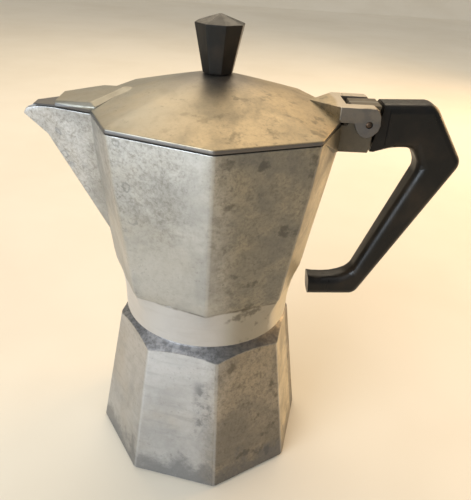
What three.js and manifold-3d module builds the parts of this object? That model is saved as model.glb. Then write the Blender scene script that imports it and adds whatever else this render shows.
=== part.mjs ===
// A six-cup stovetop moka pot: octagonal boiler, coffee funnel, gasket, filter plate,
// screwed-on collector with spout and hinge bracket, hinged lid, knob and handle.
// Millimetres, +Z up. The origin is the centre of the boiler's flat base.
// The spout points to -X and the handle to +X.
import * as THREE from 'three';
import { mergeVertices } from 'three/addons/utils/BufferGeometryUtils.js';
import { ConvexGeometry } from 'three/addons/geometries/ConvexGeometry.js';
import Module from 'manifold-3d';

const wasm = await Module();
wasm.setup();

// ---------------------------------------------------------------- driving dimensions
const GAP = 0.3; // air left between pieces that rest on each other
const ROUND = 48; // facets of a large turned surface
const FINE = 24; // facets of a small turned surface

const boilerTurn = 8.25; // degrees that the boiler stops short of lining up with the collector
const boilerFootR = 54.4; // corner radius of the boiler's octagon at its base
const shoulderR = 43.8; // corner radius where the boiler's facets end
const shoulderZ = 69.8;
const neckR = 35.3; // outside of the boiler's threaded neck
const mouthR = 31.2; // inside of the neck
const neckTopZ = 88;

const collarR = 40.53; // outside of the collector's turned collar
const collarZ = 77.18; // its lower edge
const collarTopR = 40.9;
const collarTopZ = 87.5;
const facetR = 45; // corner radius of the collector's octagon where its facets begin
const facetZ = 97;
const rimR = 58.18; // corner radius of the collector's rim
const rimZ = 175.94;
const floorZ = 98.5; // top of the collector's floor
const wall = 3;

const lidR = 58.38; // corner radius of the lid
const lidZ = 176.4; // lower edge of the lid
const domeFootZ = 178.2; // top of the lid's edge at its corners
const domeTopZ = 192.3; // flat under the knob
const knobSeatR = 6.7;
const lidWall = 2.2;

const pin = { x: 65.44, z: 177, r: 1.45, halfLength: 13 };
const pinHoleR = 1.55;
const lugHalf = 10.9; // half width of the collector's hinge bracket
const tongueHalf = 6.7; // half width of its raised middle
const earInner = 11.3; // inside of the lid's ears
const earOuter = 13.1;
const notchHalf = 7.05;
const plateZ = 184.2; // top of the lid's hinge plate

const handleHalf = 6.7; // half thickness of the grip
const slotHalf = 4; // the bracket's slot for the handle's tenon

const valve = { azimuth: 120.75, z: 46, holeR: 4.45 };

// ---------------------------------------------------------------- helpers
const rad = THREE.MathUtils.degToRad;

// Turn a closed three.js geometry into a manifold solid with its faces pointing out.
function solid(geometry) {
  const bare = geometry.clone();
  bare.deleteAttribute('normal');
  bare.deleteAttribute('uv');
  const merged = mergeVertices(bare, 1e-3);
  const xyz = merged.attributes.position.array;
  const tri = [];
  for (let i = 0; i < merged.index.count; i += 3) {
    const [a, b, c] = merged.index.array.slice(i, i + 3);
    if (a !== b && b !== c && c !== a) tri.push(a, b, c);
  }
  if (signedVolume(xyz, tri) < 0) tri.reverse();
  const mesh = new wasm.Mesh({
    numProp: 3,
    vertProperties: new Float32Array(xyz),
    triVerts: new Uint32Array(tri),
  });
  return new wasm.Manifold(mesh);
}

function signedVolume(xyz, tri) {
  const corner = (i) => new THREE.Vector3(xyz[3 * i], xyz[3 * i + 1], xyz[3 * i + 2]);
  let six = 0;
  for (let i = 0; i < tri.length; i += 3) {
    six += corner(tri[i]).dot(corner(tri[i + 1]).cross(corner(tri[i + 2])));
  }
  return six;
}

function toGeometry(body) {
  const mesh = body.getMesh();
  const geometry = new THREE.BufferGeometry();
  geometry.setAttribute('position', new THREE.BufferAttribute(mesh.vertProperties, 3));
  geometry.setIndex(new THREE.BufferAttribute(mesh.triVerts, 1));
  geometry.computeVertexNormals();
  return geometry;
}

// A solid of revolution about Z from [radius, height] points, with its first facet corner at -Y.
function turned(profile, facets = ROUND) {
  const points = profile.map(([r, z]) => new THREE.Vector2(r, z));
  return solid(new THREE.LatheGeometry(points, facets).rotateX(Math.PI / 2));
}

// The same with a bore: the profile is closed back on its first point.
const ring = (profile, facets = ROUND) => turned([...profile, profile[0]], facets);

// An eight-sided solid; radii are measured to its corners.
const octagonal = (profile) => turned(profile, 8);

function box(low, high) {
  const size = high.map((h, i) => h - low[i]);
  const middle = high.map((h, i) => (h + low[i]) / 2);
  return solid(new THREE.BoxGeometry(...size).translate(...middle));
}

const hull = (points) => solid(new ConvexGeometry(points.map((p) => new THREE.Vector3(...p))));

// Points mirrored to both sides of the pot's middle plane.
const bothSides = (points) => points.flatMap(([x, y, z]) => [[x, y, z], [x, -y, z]]);

// A plate whose outline is drawn in X and Z, from y = low to y = high.
function sidePlate(outline, low, high, bevel = 0) {
  const shape = new THREE.Shape(outline.map(([x, z]) => new THREE.Vector2(x, z)));
  const options = {
    depth: high - low - 2 * bevel,
    bevelEnabled: bevel > 0,
    bevelSize: bevel,
    bevelThickness: bevel,
    bevelOffset: -bevel,
    bevelSegments: 2,
    curveSegments: 6,
  };
  const plate = new THREE.ExtrudeGeometry(shape, options).rotateX(Math.PI / 2);
  return solid(plate.translate(0, high - bevel, 0));
}

// A round bar along Y at the hinge.
function hingeBar(radius, half) {
  const bar = new THREE.CylinderGeometry(radius, radius, 2 * half, FINE);
  return solid(bar.translate(pin.x, 0, pin.z));
}

// Turned pieces of the valve: drawn about Z, then laid along the valve's outward axis.
function onValveAxis(body) {
  const direction = new THREE.Vector3(Math.cos(rad(valve.azimuth)), Math.sin(rad(valve.azimuth)), 0);
  const turn = new THREE.Matrix4().makeBasis(
    new THREE.Vector3(0, 0, 1).cross(direction),
    new THREE.Vector3(0, 0, 1),
    direction,
  );
  return body.transform(turn.setPosition(0, 0, valve.z).toArray());
}

const group = new THREE.Group();

const finishes = {
  castAluminium: { color: 0xb4b0a4, roughness: 0.45, metalness: 0.9 },
  spunAluminium: { color: 0xc9c9c6, roughness: 0.3, metalness: 1 },
  brass: { color: 0xb5924c, roughness: 0.35, metalness: 1 },
  steel: { color: 0x8c8a86, roughness: 0.35, metalness: 1 },
  agedSteel: { color: 0x4a3b2c, roughness: 0.6, metalness: 0.8 },
  bakelite: { color: 0x14120f, roughness: 0.35, metalness: 0 },
  rubber: { color: 0xd9d5c8, roughness: 0.8, metalness: 0 },
  fibre: { color: 0x8d3b2a, roughness: 0.9, metalness: 0 },
};

function add(name, body, finish) {
  const mesh = new THREE.Mesh(toGeometry(body), new THREE.MeshStandardMaterial(finishes[finish]));
  mesh.name = name;
  group.add(mesh);
}

// ---------------------------------------------------------------- boiler and safety valve
function boiler() {
  const taper = (boilerFootR - shoulderR) / shoulderZ;
  const topZ = 76;
  const facets = octagonal([
    [0, 0],
    [boilerFootR - 1, 0],
    [boilerFootR, 1.2],
    [boilerFootR - taper * topZ, topZ],
    [0, topZ],
  ]);
  const shoulderSlope = 0.472; // the cone that rounds off the facets and gives each its arched top
  const shoulder = turned([
    [0, -1],
    [60, -1],
    [60, shoulderZ - shoulderSlope * (60 - shoulderR)],
    [38, shoulderZ + shoulderSlope * (shoulderR - 38)],
    [36.6, 73.8],
    [35.9, 75.4],
    [0, 75.4],
  ]);
  const neck = turned([
    [0, 60],
    [neckR, 60],
    [neckR, neckTopZ - 0.8],
    [neckR - 0.8, neckTopZ],
    [0, neckTopZ],
  ]);
  const cavity = turned([
    [0, wall],
    [45.6, wall],
    [47.2, wall + 2],
    [37.6, 67],
    [36, 69.5],
    [mouthR, 73],
    [mouthR, neckTopZ + 1],
    [0, neckTopZ + 1],
  ]);
  const pad = onValveAxis(turned([[0, 40], [8.5, 40], [8.5, 45], [0, 45]], FINE));
  const hole = onValveAxis(turned([[0, 30], [valve.holeR, 30], [valve.holeR, 60], [0, 60]], FINE));
  const shell = facets.intersect(shoulder).rotate([0, 0, boilerTurn]).add(neck).add(pad);
  return shell.subtract(cavity).subtract(hole);
}

// Brass safety valve: a sprung plunger that lifts off its seat and shows outside the nose.
function addValve() {
  const hexR = 6.93; // 12 mm across flats
  const hex = turned([[0, 46.6], [hexR, 46.6], [hexR, 51.6], [0, 51.6]], 6);
  const shank = turned([[0, 36.5], [4.2, 36.5], [4.2, 47], [0, 47]], FINE);
  const nose = turned([[0, 51], [4.6, 51], [4.6, 54.8], [3.8, 55.6], [0, 55.6]], FINE);
  const chamber = turned([[0, 36], [2.6, 36], [2.6, 53.6], [1.3, 53.6], [1.3, 56], [0, 56]], FINE);
  const washer = ring([[4.8, 45.3], [7.4, 45.3], [7.4, 46.3], [4.8, 46.3]], FINE);
  const seat = ring([[1.2, 37], [2.3, 37], [2.3, 38.5], [1.2, 38.5]], FINE);
  const plunger = turned([
    [0, 38.8],
    [2.1, 38.8],
    [2.1, 40.3],
    [0.9, 40.3],
    [0.9, 56.6],
    [0.6, 57],
    [0, 57],
  ], FINE);
  const spring = ring([[1.25, 40.6], [2.05, 40.6], [2.05, 53.3], [1.25, 53.3]], FINE);
  add('valve_body', onValveAxis(hex.add(shank).add(nose).subtract(chamber)), 'brass');
  add('valve_washer', onValveAxis(washer), 'fibre');
  add('valve_seat', onValveAxis(seat), 'brass');
  add('valve_plunger', onValveAxis(plunger), 'steel');
  add('valve_spring', onValveAxis(spring), 'steel');
}

// ---------------------------------------------------------------- funnel, gasket and filter
const funnelLipZ = neckTopZ + GAP;
const basketR = 30.4;
const basketFloorZ = 66;

function funnel() {
  return ring([
    [33.8, funnelLipZ],
    [33.8, funnelLipZ + 1],
    [basketR - 0.8, funnelLipZ + 1],
    [basketR - 1.4, basketFloorZ + 0.8],
    [5.4, 61.3],
    [4, 57],
    [3.7, 9],
    [4.6, 9],
    [4.9, 56.6],
    [6, 60.4],
    [basketR - 0.5, basketFloorZ],
    [basketR, funnelLipZ],
  ]);
}

// A thin disc with rings of holes; the holes are six-sided.
function perforatedDisc(radius, low, high, ringsOfHoles, holeR) {
  let disc = turned([[0, low], [radius, low], [radius, high], [0, high]]);
  for (const [circle, count] of ringsOfHoles) {
    for (let i = 0; i < count; i += 1) {
      const angle = (2 * Math.PI * i) / count;
      const hole = turned([[0, low - 1], [holeR, low - 1], [holeR, high + 1], [0, high + 1]], 6);
      disc = disc.subtract(hole.translate([circle * Math.cos(angle), circle * Math.sin(angle), 0]));
    }
  }
  return disc;
}

const gasketZ = funnelLipZ + 1 + GAP;
const gasketThick = 3.5;
const filterZ = gasketZ + gasketThick + GAP;
const filterThick = 0.8;
const undersideZ = filterZ + filterThick + GAP; // underside of the collector's floor

function gasket() {
  const top = gasketZ + gasketThick;
  return ring([[26.8, gasketZ], [33.2, gasketZ], [33.2, top], [26.8, top]]);
}

// ---------------------------------------------------------------- collector
const facetProfile = [
  [facetR, facetZ],
  [46.2, 99.4],
  [47.1, 104],
  [49, 116],
  [56.1, 158.4],
  [rimR, rimZ],
];

// Corners of a regular polygon at a height, with the first on +X.
function polygon(radius, z, corners) {
  const angles = Array.from({ length: corners }, (_, i) => (2 * Math.PI * i) / corners);
  return angles.map((a) => [radius * Math.cos(a), radius * Math.sin(a), z]);
}

// Turned collar, a blend from its round top to the octagon, and the octagonal bowl.
function collectorShell() {
  const inset = 5; // how far neighbouring sections reach into each other
  const facets = octagonal([[0, facetZ - inset], [facetR - inset, facetZ - inset], ...facetProfile, [0, rimZ]]);
  const blend = hull([...polygon(collarTopR, collarTopZ, ROUND), ...polygon(facetR, facetZ, 8)]);
  const collar = turned([
    [0, collarZ],
    [collarR - 0.6, collarZ],
    [collarR, collarZ + 0.6],
    [collarTopR, collarTopZ],
    [collarTopR - inset, collarTopZ + inset],
    [0, collarTopZ + inset],
  ]);
  return facets.add(blend).add(collar);
}

// The spout: two convex wedges whose shared keel runs from the body up to the beak.
function spoutSkin() {
  const lower = hull(bothSides([
    [-45, 15, rimZ],
    [-51.7, 15.6, rimZ],
    [-67.8, 9.3, rimZ],
    [-77, 4, 174.9],
    [-76.2, 1.2, 164.9],
    [-67.9, 1.3, 151.3],
    [-53, 1.3, 126.9],
    [-45, 1, 109],
  ]));
  const beak = hull(bothSides([
    [-84.2, 0.8, 170.4],
    [-82.6, 1.7, 173],
    [-77, 4, 174.9],
    [-66, 9.5, rimZ],
    [-78.2, 1.2, 167.1],
    [-72, 2, 160],
    [-66, 6, 168],
  ]));
  return lower.add(beak);
}

function spoutChannel() {
  const lower = hull(bothSides([
    [-42, 12.6, 179],
    [-50.5, 12.8, 179],
    [-67, 6.8, 179],
    [-76.5, 1.7, 179],
    [-75, 0.6, 168.6],
    [-65.4, 0.6, 153.4],
    [-51, 0.6, 130],
    [-42, 0.6, 117],
  ]));
  const beak = hull(bothSides([
    [-75, 2, 179],
    [-87, 0.8, 179],
    [-87, 0.4, 172],
    [-76, 0.6, 169.5],
    [-70, 2, 169],
  ]));
  return lower.add(beak);
}

// The cast bracket that carries the handle and the hinge pin, with a gusset to each facet.
function bracketSkin() {
  const lug = sidePlate([
    [49, 163.7],
    [67.3, 163.8],
    [68.1, 170],
    [68, 173],
    [67.7, 177],
    [67.2, 179.3],
    [65.4, 180.1],
    [57.4, 180.1],
    [56.6, rimZ],
    [49, rimZ],
  ], -lugHalf, lugHalf);
  const raised = sidePlate([
    [52, 168],
    [68.7, 168],
    [71.6, 183.9],
    [58.5, 183.6],
    [56.7, 179.5],
    [56.4, rimZ],
    [52, rimZ],
  ], -tongueHalf, tongueHalf);
  const gussets = [1, -1].map((side) => hull([
    [42.6, 37.4 * side, rimZ],
    [40, 33 * side, 172],
    [46, 9 * side, 160],
    [54.3, lugHalf * side, 163.7],
    [54.3, lugHalf * side, rimZ],
  ]));
  return lug.add(raised).add(gussets[0]).add(gussets[1]);
}

function collector() {
  const bowl = octagonal([
    [0, floorZ],
    [39, floorZ],
    [42.2, floorZ + 3],
    [45.6, 116],
    [52.9, 158.4],
    [rimR - wall, rimZ],
    [rimR - wall + 0.2, rimZ + 8],
    [0, rimZ + 8],
  ]);
  const threadBore = turned([
    [0, collarZ - 1],
    [36.6, collarZ - 1],
    [35.9, collarZ + 0.7],
    [35.9, neckTopZ + 0.6],
    [33.6, neckTopZ + 2.2],
    [33.6, undersideZ],
    [20, undersideZ],
    [8, undersideZ + 0.6],
    [7.4, undersideZ + 1],
    [7.4, floorZ + 1],
    [0, floorZ + 1],
  ]);
  const handleSlot = box([59.5, -slotHalf, 166.5], [75, slotHalf, 180.3]);
  const skin = collectorShell().add(spoutSkin()).add(bracketSkin());
  return skin
    .subtract(bowl)
    .subtract(threadBore)
    .subtract(spoutChannel())
    .subtract(handleSlot)
    .subtract(hingeBar(pinHoleR, 20));
}

// The tube that the coffee rises through; it pours from two slots under a closed top.
function riser() {
  const skin = turned([
    [0, undersideZ + 0.6],
    [7, undersideZ + 0.6],
    [7, floorZ + GAP],
    [9.5, floorZ + GAP],
    [9, 100.6],
    [6.6, 104],
    [5.2, 148],
    [4.4, 151],
    [0, 152.5],
  ], FINE);
  const bore = turned([[0, 90], [4.4, 90], [3.2, 148], [0, 148.6]], FINE);
  const slots = box([-1.3, -9, 141], [1.3, 9, 147]);
  return skin.subtract(bore).subtract(slots);
}

// ---------------------------------------------------------------- lid, knob and hinge
// Height of the lid's outside at a radius: nearly a cone, bowed up a little.
function domeHeight(radius) {
  const t = (lidR - radius) / (lidR - knobSeatR);
  return domeFootZ + (domeTopZ - domeFootZ) * (t + 0.1 * t * (1 - t));
}

// The convex lid top: octagonal at its edge, round towards the knob, and dropped for its inside.
function dome(drop, baseZ) {
  const edge = polygon(lidR, domeFootZ - drop, 8);
  const foot = polygon(lidR, baseZ, 8);
  const circles = [44, 32, 20, 12, knobSeatR].map((r) => polygon(r, domeHeight(r) - drop, ROUND));
  return hull([...foot, ...edge, ...circles.flat()]);
}

// Raised cover over the spout, in two steps that run out to the beak.
function beakCover() {
  const cover = hull(bothSides([
    [-36, 0.01, 184.6],
    [-51.5, 15.3, 180.8],
    [-48.4, 20, 178.9],
    [-68, 8, 178.6],
    [-40, 10, lidZ],
    [-51.7, 15.5, lidZ],
    [-68, 9.1, lidZ],
  ]));
  const lip = hull(bothSides([
    [-66, 8.6, 177.6],
    [-78.6, 3, 175.8],
    [-66, 9.6, lidZ],
    [-79, 3.3, 175.2],
  ]));
  const hollow = hull(bothSides([
    [-44, 11.5, 170],
    [-52, 12.2, 170],
    [-67, 6.4, 170],
    [-44, 9, 180],
    [-52, 10.5, 178.6],
    [-66, 5.4, 177.3],
  ]));
  return { skin: cover.add(lip), hollow };
}

// Hinge plate with two ears that straddle the bracket.
function hingePlate() {
  const wedge = hull([
    [41, 0, 183.5],
    [52.4, earOuter, plateZ],
    [52.4, -earOuter, plateZ],
    [57, earOuter, plateZ],
    [57, -earOuter, plateZ],
    [45, 0, 178],
    [52.4, earOuter, lidZ],
    [52.4, -earOuter, lidZ],
    [57, earOuter, 177.4],
    [57, -earOuter, 177.4],
  ]);
  const ears = sidePlate([
    [52.4, 177.4],
    [58.9, 177.4],
    [60.2, 174.5],
    [62.4, 172],
    [65, 171.2],
    [67.8, 172.3],
    [69.7, 174.4],
    [70.4, 177],
    [70, 181],
    [68.8, 183.4],
    [67.6, plateZ],
    [52.4, plateZ],
  ], -earOuter, earOuter);
  return wedge.add(ears);
}

function lid() {
  const inside = octagonal([[0, lidZ - 1], [lidR - 3, lidZ - 1], [lidR - 3, 200], [0, 200]]);
  const beak = beakCover();
  return dome(0, lidZ)
    .add(beak.skin)
    .add(hingePlate())
    .subtract(inside.intersect(dome(lidWall, lidZ - 2)))
    .subtract(beak.hollow)
    .subtract(box([56, -earInner, 165], [80, earInner, 180.5]))
    .subtract(box([55.6, -notchHalf, 165], [80, notchHalf, 190]))
    .subtract(hingeBar(pinHoleR, 20))
    .subtract(turned([[0, 180], [2.2, 180], [2.2, 200], [0, 200]], FINE));
}

const knobZ = domeTopZ + GAP;

function addKnob() {
  const body = octagonal([
    [0, knobZ],
    [6.74, knobZ],
    [10.91, 213.2],
    [0, 217],
  ]).rotate([0, 0, 14.08]);
  const pocket = turned([[0, 190], [3.3, 190], [3.3, 203.3], [0, 203.3]], FINE);
  const insert = ring([[2.1, knobZ], [3, knobZ], [3, 203], [2.1, 203]], FINE);
  const underside = domeTopZ - lidWall;
  const washer = ring([[2.2, underside - 1], [5, underside - 1], [5, underside - GAP], [2.2, underside - GAP]], FINE);
  const headTop = underside - 1 - GAP;
  const screw = turned([
    [0, headTop - 2.4],
    [2.6, headTop - 2.4],
    [3.9, headTop - 1.2],
    [3.9, headTop],
    [1.8, headTop],
    [1.8, 201.5],
    [1.2, 202.2],
    [0, 202.2],
  ], FINE);
  const driverSlot = box([-5, -0.5, headTop - 3], [5, 0.5, headTop - 1.2]);
  add('knob', body.subtract(pocket), 'bakelite');
  add('knob_insert', insert, 'brass');
  add('knob_washer', washer, 'steel');
  add('knob_screw', screw.subtract(driverSlot), 'steel');
}

// ---------------------------------------------------------------- handle
function handle() {
  const grip = sidePlate([
    [72.6, 183.3],
    [92.5, 185.1],
    [95.8, 183.4],
    [112, 160.2],
    [112.2, 158.6],
    [96.2, 126.2],
    [77.8, 88.3],
    [74.3, 85.6],
    [70, 84.5],
    [52.6, 83.9],
    [50.4, 84.6],
    [50, 95.2],
    [56.1, 94.4],
    [64, 95.8],
    [69.8, 98.2],
    [72, 101.6],
    [81.6, 127.6],
    [92.2, 156],
    [92.3, 159.4],
    [90.6, 162.6],
    [86.3, 164.9],
    [81.6, 164.5],
    [72.8, 162.4],
    [68.9, 162.4],
  ], -handleHalf, handleHalf, 1.8);
  const tenon = box([60, -slotHalf + GAP, 166.8], [76, slotHalf - GAP, 180]);
  return grip
    .add(tenon)
    .subtract(hingeBar(pinHoleR, 20));
}

// ---------------------------------------------------------------- assembly
add('boiler', boiler(), 'castAluminium');
addValve();
add('funnel', funnel(), 'spunAluminium');
const holeRings = [[7, 6], [14, 12], [21, 18]]; // [circle radius, number of holes]
add('funnel_screen', perforatedDisc(28.5, 67.2, 68, holeRings, 1), 'spunAluminium');
add('gasket', gasket(), 'rubber');
add('filter_plate', perforatedDisc(32.6, filterZ, filterZ + filterThick, holeRings, 1), 'spunAluminium');
add('collector', collector(), 'castAluminium');
add('riser_tube', riser(), 'castAluminium');
add('handle', handle(), 'bakelite');
add('hinge_pin', hingeBar(pin.r, pin.halfLength), 'agedSteel');
add('lid', lid(), 'castAluminium');
addKnob();

export default group;
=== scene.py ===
# %% [markdown]
# # An old stovetop moka pot
# The pot is two aluminium castings that screw together, with a lid on a hinge and
# a black phenolic handle and knob. The frame file already holds every solid in its
# place and says what moves with what, so it is loaded first and each finished
# piece is laid over the solid that it stands for.

# %% Load the frame
import math

import bpy
from mathutils import Matrix, Vector


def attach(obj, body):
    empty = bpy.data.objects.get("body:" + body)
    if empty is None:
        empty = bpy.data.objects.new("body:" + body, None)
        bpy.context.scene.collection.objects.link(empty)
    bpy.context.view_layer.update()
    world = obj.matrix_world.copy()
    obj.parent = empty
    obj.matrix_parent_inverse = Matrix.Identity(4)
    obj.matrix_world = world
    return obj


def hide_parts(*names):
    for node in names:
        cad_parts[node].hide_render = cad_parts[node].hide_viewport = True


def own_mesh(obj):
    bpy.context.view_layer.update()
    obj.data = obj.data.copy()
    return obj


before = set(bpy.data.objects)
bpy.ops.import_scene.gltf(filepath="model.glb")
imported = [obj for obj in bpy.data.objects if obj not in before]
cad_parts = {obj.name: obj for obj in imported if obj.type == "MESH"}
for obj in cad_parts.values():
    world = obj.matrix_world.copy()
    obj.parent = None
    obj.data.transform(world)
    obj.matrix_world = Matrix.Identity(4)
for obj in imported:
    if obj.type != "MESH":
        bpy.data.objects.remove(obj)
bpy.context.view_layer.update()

# %% [markdown]
# ## The camera
# A person looks down at a pot on a table from close by, so its upright edges lean
# together towards the foot. A camera near the pot with a short lens gives the same
# pull. It is set by plain angles: how far round, how high, and how much it tips. The
# last number is how far it is from the point that it looks at.

# %% Place the camera
AROUND, ABOVE, TIP = math.radians(-2.756), math.radians(26.349), math.radians(4.016)
LOOK_AT = Vector((0.011917, 0, 0.124158))
DISTANCE = 0.271

turn = Matrix.Rotation(AROUND, 4, "Z") @ Matrix.Rotation(math.pi / 2 - ABOVE, 4, "X")
turn = turn @ Matrix.Rotation(TIP, 4, "Z")
bpy.ops.object.camera_add()
camera = bpy.context.object
camera.matrix_world = Matrix.Translation(LOOK_AT + turn.to_3x3() @ Vector((0, 0, DISTANCE))) @ turn
camera.data.sensor_width = 36
camera.data.lens = 40.32
camera.data.shift_y = -0.0665
camera.data.clip_start = 0.01
bpy.context.scene.camera = camera
bpy.context.scene.view_settings.view_transform = "Standard"
print("camera at", [round(v, 4) for v in camera.matrix_world.translation])

# %% [markdown]
# ## Working by hand, in code
# Each operator works on whatever is selected, so two habits keep it safe: pick one
# piece alone before working on it, and choose edges or faces by where they are and
# which way they face. A traced line is the start of nearly every piece here. It is
# one vertex, extruded from point to point, as a modeller would click it out.

# %% Pick a piece and trace a line
MM = 0.001


def pick(piece):
    """Leave one piece selected and active, in object mode."""
    bpy.ops.object.select_all(action="DESELECT")
    piece.select_set(True)
    bpy.context.view_layer.objects.active = piece


def edit(piece, everything=True):
    """Enter edit mode on one piece, with all of it selected or its marked parts only."""
    pick(piece)
    bpy.ops.object.mode_set(mode="EDIT")
    if everything:
        bpy.ops.mesh.select_all(action="SELECT")


def leave():
    bpy.ops.object.mode_set(mode="OBJECT")


def face_out():
    """Point every face outwards, then leave edit mode."""
    bpy.ops.mesh.select_all(action="SELECT")
    bpy.ops.mesh.normals_make_consistent(inside=False)
    leave()


def traced(name, points):
    """A chain of edges through points given in millimetres."""
    places = [Vector(p) * MM for p in points]
    bpy.context.tool_settings.mesh_select_mode = (True, False, False)
    bpy.ops.object.select_all(action="DESELECT")
    bpy.ops.mesh.primitive_plane_add(size=0.01)
    piece = bpy.context.object
    piece.name = piece.data.name = name
    edit(piece)
    bpy.ops.mesh.merge(type="CENTER")
    bpy.ops.transform.translate(value=places[0])
    for here, there in zip(places, places[1:]):
        bpy.ops.mesh.extrude_vertices_move(TRANSFORM_OT_translate={"value": there - here})
    leave()
    return piece


# %% [markdown]
# ## Four ways to make a solid
# Lathe work is spun from half of its outline, and with eight steps instead of many
# the same spin gives the pot's octagons. Flat parts, such as the handle, are an
# outline pulled to a thickness. Wedges, such as the spout, are the tightest skin
# around a few corner points. A screw thread or a spring is an outline that climbs
# as it turns.

# %% Spin, pull, wrap and screw
def spun(name, profile, steps=96):
    """A solid of revolution from [radius, height] points, closed at the axis or on itself."""
    piece = traced(name, [(r, 0, z) for r, z in profile])
    edit(piece)
    bpy.ops.mesh.spin(steps=steps, angle=math.tau, center=(0, 0, 0), axis=(0, 0, 1))
    bpy.ops.mesh.select_all(action="SELECT")
    bpy.ops.mesh.remove_doubles(threshold=2e-6)
    face_out()
    return piece


def plate(name, outline, low, high):
    """An outline in X and Z, pulled from y = low to y = high."""
    piece = traced(name, [(x, low, z) for x, z in outline])
    edit(piece)
    bpy.ops.mesh.edge_face_add()
    bpy.ops.mesh.extrude_region_move(TRANSFORM_OT_translate={"value": (0, (high - low) * MM, 0)})
    face_out()
    return piece


def wrapped(name, points):
    """The convex skin around some points."""
    piece = traced(name, points)
    edit(piece)
    bpy.ops.mesh.convex_hull()
    bpy.ops.mesh.select_all(action="SELECT")
    bpy.ops.mesh.dissolve_limited(angle_limit=math.radians(0.5))
    face_out()
    return piece


def both_sides(points):
    return [(x, side * y, z) for x, y, z in points for side in (1, -1)]


def climbing(name, outline, turns, pitch, steps=48):
    """An outline screwed round Z, with its two ends closed."""
    piece = traced(name, [(r, 0, z) for r, z in outline])
    edit(piece)
    bpy.ops.mesh.edge_face_add()
    bpy.ops.mesh.delete(type="ONLY_FACE")
    leave()
    screw = piece.modifiers.new("climb", "SCREW")
    screw.angle = math.tau * turns
    screw.screw_offset = pitch * turns * MM
    screw.steps = screw.render_steps = int(steps * turns)
    apply_all(piece)
    edit(piece, everything=False)
    bpy.ops.mesh.select_mode(type="EDGE")
    bpy.ops.mesh.select_all(action="DESELECT")
    bpy.ops.mesh.select_non_manifold()
    bpy.ops.mesh.fill_holes(sides=0)
    face_out()
    return piece


def apply_all(piece):
    pick(piece)
    for modifier in list(piece.modifiers):
        bpy.ops.object.modifier_apply(modifier=modifier.name)


def swing(piece, degrees):
    """Turn a piece about the pot's axis, clockwise seen from above."""
    edit(piece)
    bpy.ops.transform.rotate(value=-math.radians(degrees), orient_axis="Z", center_override=(0, 0, 0))
    leave()


# %% [markdown]
# ## Fitting solids together
# A foundry pattern is glued up from blocks and then bored out. The Boolean modifier
# does both: it joins, cuts or keeps the common part of two closed solids. A casting
# has no knife edges, so each block is softened by a small bevel before it is glued
# on. Last of all the normals are weighted by face size, which keeps the wide flats
# flat and lets only the narrow rounds catch the light.

# %% Join, cut and soften
def combine(piece, how, *others):
    """Fit a piece to other solids, which are used up."""
    for other in others:
        pick(piece)
        step = piece.modifiers.new("fit", "BOOLEAN")
        step.operation, step.solver, step.object = how, "MANIFOLD", other
        bpy.ops.object.modifier_apply(modifier=step.name)
        bpy.data.objects.remove(other)
    return piece


def cut(piece, *others):
    return combine(piece, "DIFFERENCE", *others)


def glue(piece, *others):
    return combine(piece, "UNION", *others)


def mark(piece, test):
    """Select the edges that pass a test, ready for edit mode, and count them."""
    bpy.context.tool_settings.mesh_select_mode = (False, True, False)
    for part in (piece.data.vertices, piece.data.edges, piece.data.polygons):
        for item in part:
            item.select = False
    chosen = [edge for edge in piece.data.edges if test(edge)]
    for edge in chosen:
        edge.select = True
    return len(chosen)


def bevel_edges(piece, test, width, segments=3, clamp=True):
    """Round the edges that pass a test, given the edge's two end points in millimetres."""
    corners = [v.co / MM for v in piece.data.vertices]
    count = mark(piece, lambda e: test(corners[e.vertices[0]], corners[e.vertices[1]]))
    edit(piece, everything=False)
    bpy.ops.mesh.bevel(offset=width * MM, segments=segments, affect="EDGES", clamp_overlap=clamp)
    leave()
    return count


SAME_ANGLE = 0.01


def upright(a, b):
    """True for an edge that runs up a spun octagon, at one of its corners."""
    off_axis = min(math.hypot(a.x, a.y), math.hypot(b.x, b.y)) > 1
    turned = abs(math.atan2(a.y, a.x) - math.atan2(b.y, b.x))
    return abs(a.z - b.z) > 0.5 and off_axis and turned < SAME_ANGLE


def at_corner(point):
    """True on the corners of an octagon that has one of them on +X."""
    return abs(math.remainder(math.atan2(point.y, point.x), math.pi / 4)) < SAME_ANGLE


def soften(piece, width=0.4, crease=30, segments=2):
    """Round every crease of one plain solid, before it is fitted to others."""
    bevel = piece.modifiers.new("soft edges", "BEVEL")
    bevel.limit_method, bevel.angle_limit = "ANGLE", math.radians(crease)
    bevel.width, bevel.segments = width * MM, segments
    apply_all(piece)
    return piece


SMOOTH_BELOW = 32


def dress(piece, reach):
    """Merge what the cuts left on top of itself, and shade flats flat and rounds round."""
    edit(piece)
    bpy.ops.mesh.remove_doubles(threshold=reach * MM)
    bpy.ops.mesh.select_all(action="SELECT")
    bpy.ops.mesh.dissolve_degenerate(threshold=reach * MM)
    leave()
    pick(piece)
    bpy.ops.object.shade_smooth_by_angle(angle=math.radians(SMOOTH_BELOW))
    weigh = piece.modifiers.new("flat faces first", "WEIGHTED_NORMAL")
    weigh.keep_sharp = True
    weigh.weight = 80
    apply_all(piece)


def settle(piece, node, body, reach=0.01):
    """Dress a piece and put it in the place of the solid that it stands for."""
    dress(piece, reach)
    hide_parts(node)
    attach(piece, body)
    piece.data.calc_loop_triangles()
    box = [round(v * 1000, 1) for v in piece.dimensions]
    print(f"{piece.name}: {len(piece.data.loop_triangles)} triangles, {box} mm, stands for {node}")


# %% [markdown]
# ## The boiler
# The lower half holds the water. It is cast as an octagon that narrows upwards, and
# a lathe then turns its top: a cone cuts the eight corners back, which leaves each
# face with an arched top edge. The spun octagon is cut with the same cone here, so
# the arches come out by themselves.

# %% Cast the boiler
BOILER_TURN = 8.25
FOOT_R, SHOULDER_R, SHOULDER_Z = 54.4, 43.8, 69.8
NECK_R, MOUTH_R, NECK_TOP = 35.3, 31.2, 88
SLOPE = 0.472

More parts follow.
